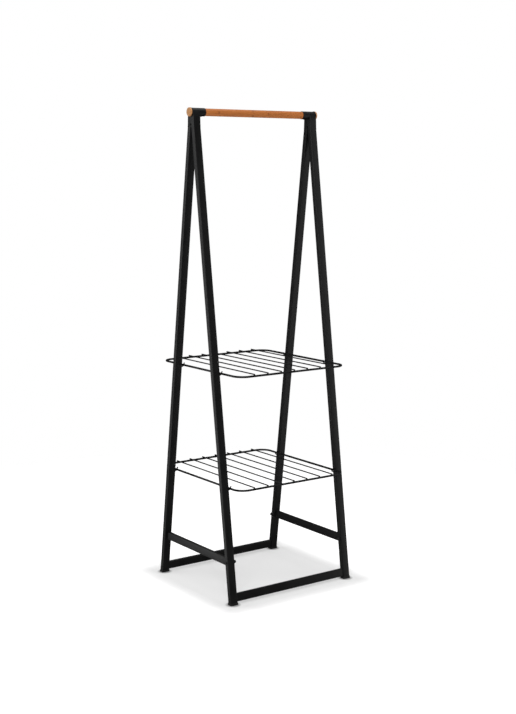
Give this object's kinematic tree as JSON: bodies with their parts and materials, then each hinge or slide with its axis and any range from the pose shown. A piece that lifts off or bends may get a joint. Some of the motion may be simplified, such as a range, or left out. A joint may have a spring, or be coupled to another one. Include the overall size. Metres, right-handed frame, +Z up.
{
  "type": "valet stand",
  "caption": "Open clothes stand: two leaning black tube frames under a round bamboo hanging rail, with lift-off wire shelves on hooks.",
  "frame": {"origin": "on the floor, at the middle of the feet", "axes": "+Z up, +X along the hanging rail to the right, -Y the front"},
  "size_m": [0.609, 0.564, 1.897],
  "materials": {
    "frame_steel": "satin black powder coat on oblong steel tube",
    "head_metal": "satin black coated casting",
    "bamboo": "lacquered caramel bamboo, straight grain",
    "foot_plastic": "matt black moulded plastic",
    "plug_plastic": "plain moulded plastic, hidden",
    "tongue_steel": "plain zinc-plated steel, hidden",
    "hook_steel": "satin black powder-coated rod",
    "shelf_wire": "satin black powder-coated wire",
    "fastener_steel": "black-plated steel"
  },
  "bodies": {
    "stand": {"bar_bolts": "fastener_steel", "bar_plugs": "plug_plastic", "bottom_bar_back": "frame_steel", "bottom_bar_front": "frame_steel", "cap_dowels": "bamboo", "cap_nuts": "fastener_steel", "foot_back_left": "foot_plastic", "foot_back_right": "foot_plastic", "foot_front_left": "foot_plastic", "foot_front_right": "foot_plastic", "hanging_rail": "bamboo", "head_bolts": "fastener_steel", "head_nuts": "fastener_steel", "leg_back_left": "frame_steel", "leg_back_right": "frame_steel", "leg_front_left": "frame_steel", "leg_front_right": "frame_steel", "leg_plug_back_left": "plug_plastic", "leg_plug_back_right": "plug_plastic", "leg_plug_front_left": "plug_plastic", "leg_plug_front_right": "plug_plastic", "lower_shelf_hooks": "hook_steel", "rail_cap_left": "bamboo", "rail_cap_right": "bamboo", "rail_head_left": "head_metal", "rail_head_right": "head_metal", "rail_screws": "fastener_steel", "stretcher_bolts": "fastener_steel", "stretcher_left": "frame_steel", "stretcher_right": "frame_steel", "stretcher_tongues_left": "tongue_steel", "stretcher_tongues_right": "tongue_steel", "upper_shelf_hooks": "hook_steel"},
    "upper_shelf": {"upper_shelf_rim": "shelf_wire", "upper_shelf_rods": "shelf_wire"},
    "lower_shelf": {"lower_shelf_rim": "shelf_wire", "lower_shelf_rods": "shelf_wire"}
  },
  "joints": [
    {"name": "upper_shelf_lift", "type": "slide", "parent": "stand", "child": "upper_shelf", "axis": [0, 0, 1], "range_m": [0, 0.06]},
    {"name": "lower_shelf_lift", "type": "slide", "parent": "stand", "child": "lower_shelf", "axis": [0, 0, 1], "range_m": [0, 0.06]}
  ]
}
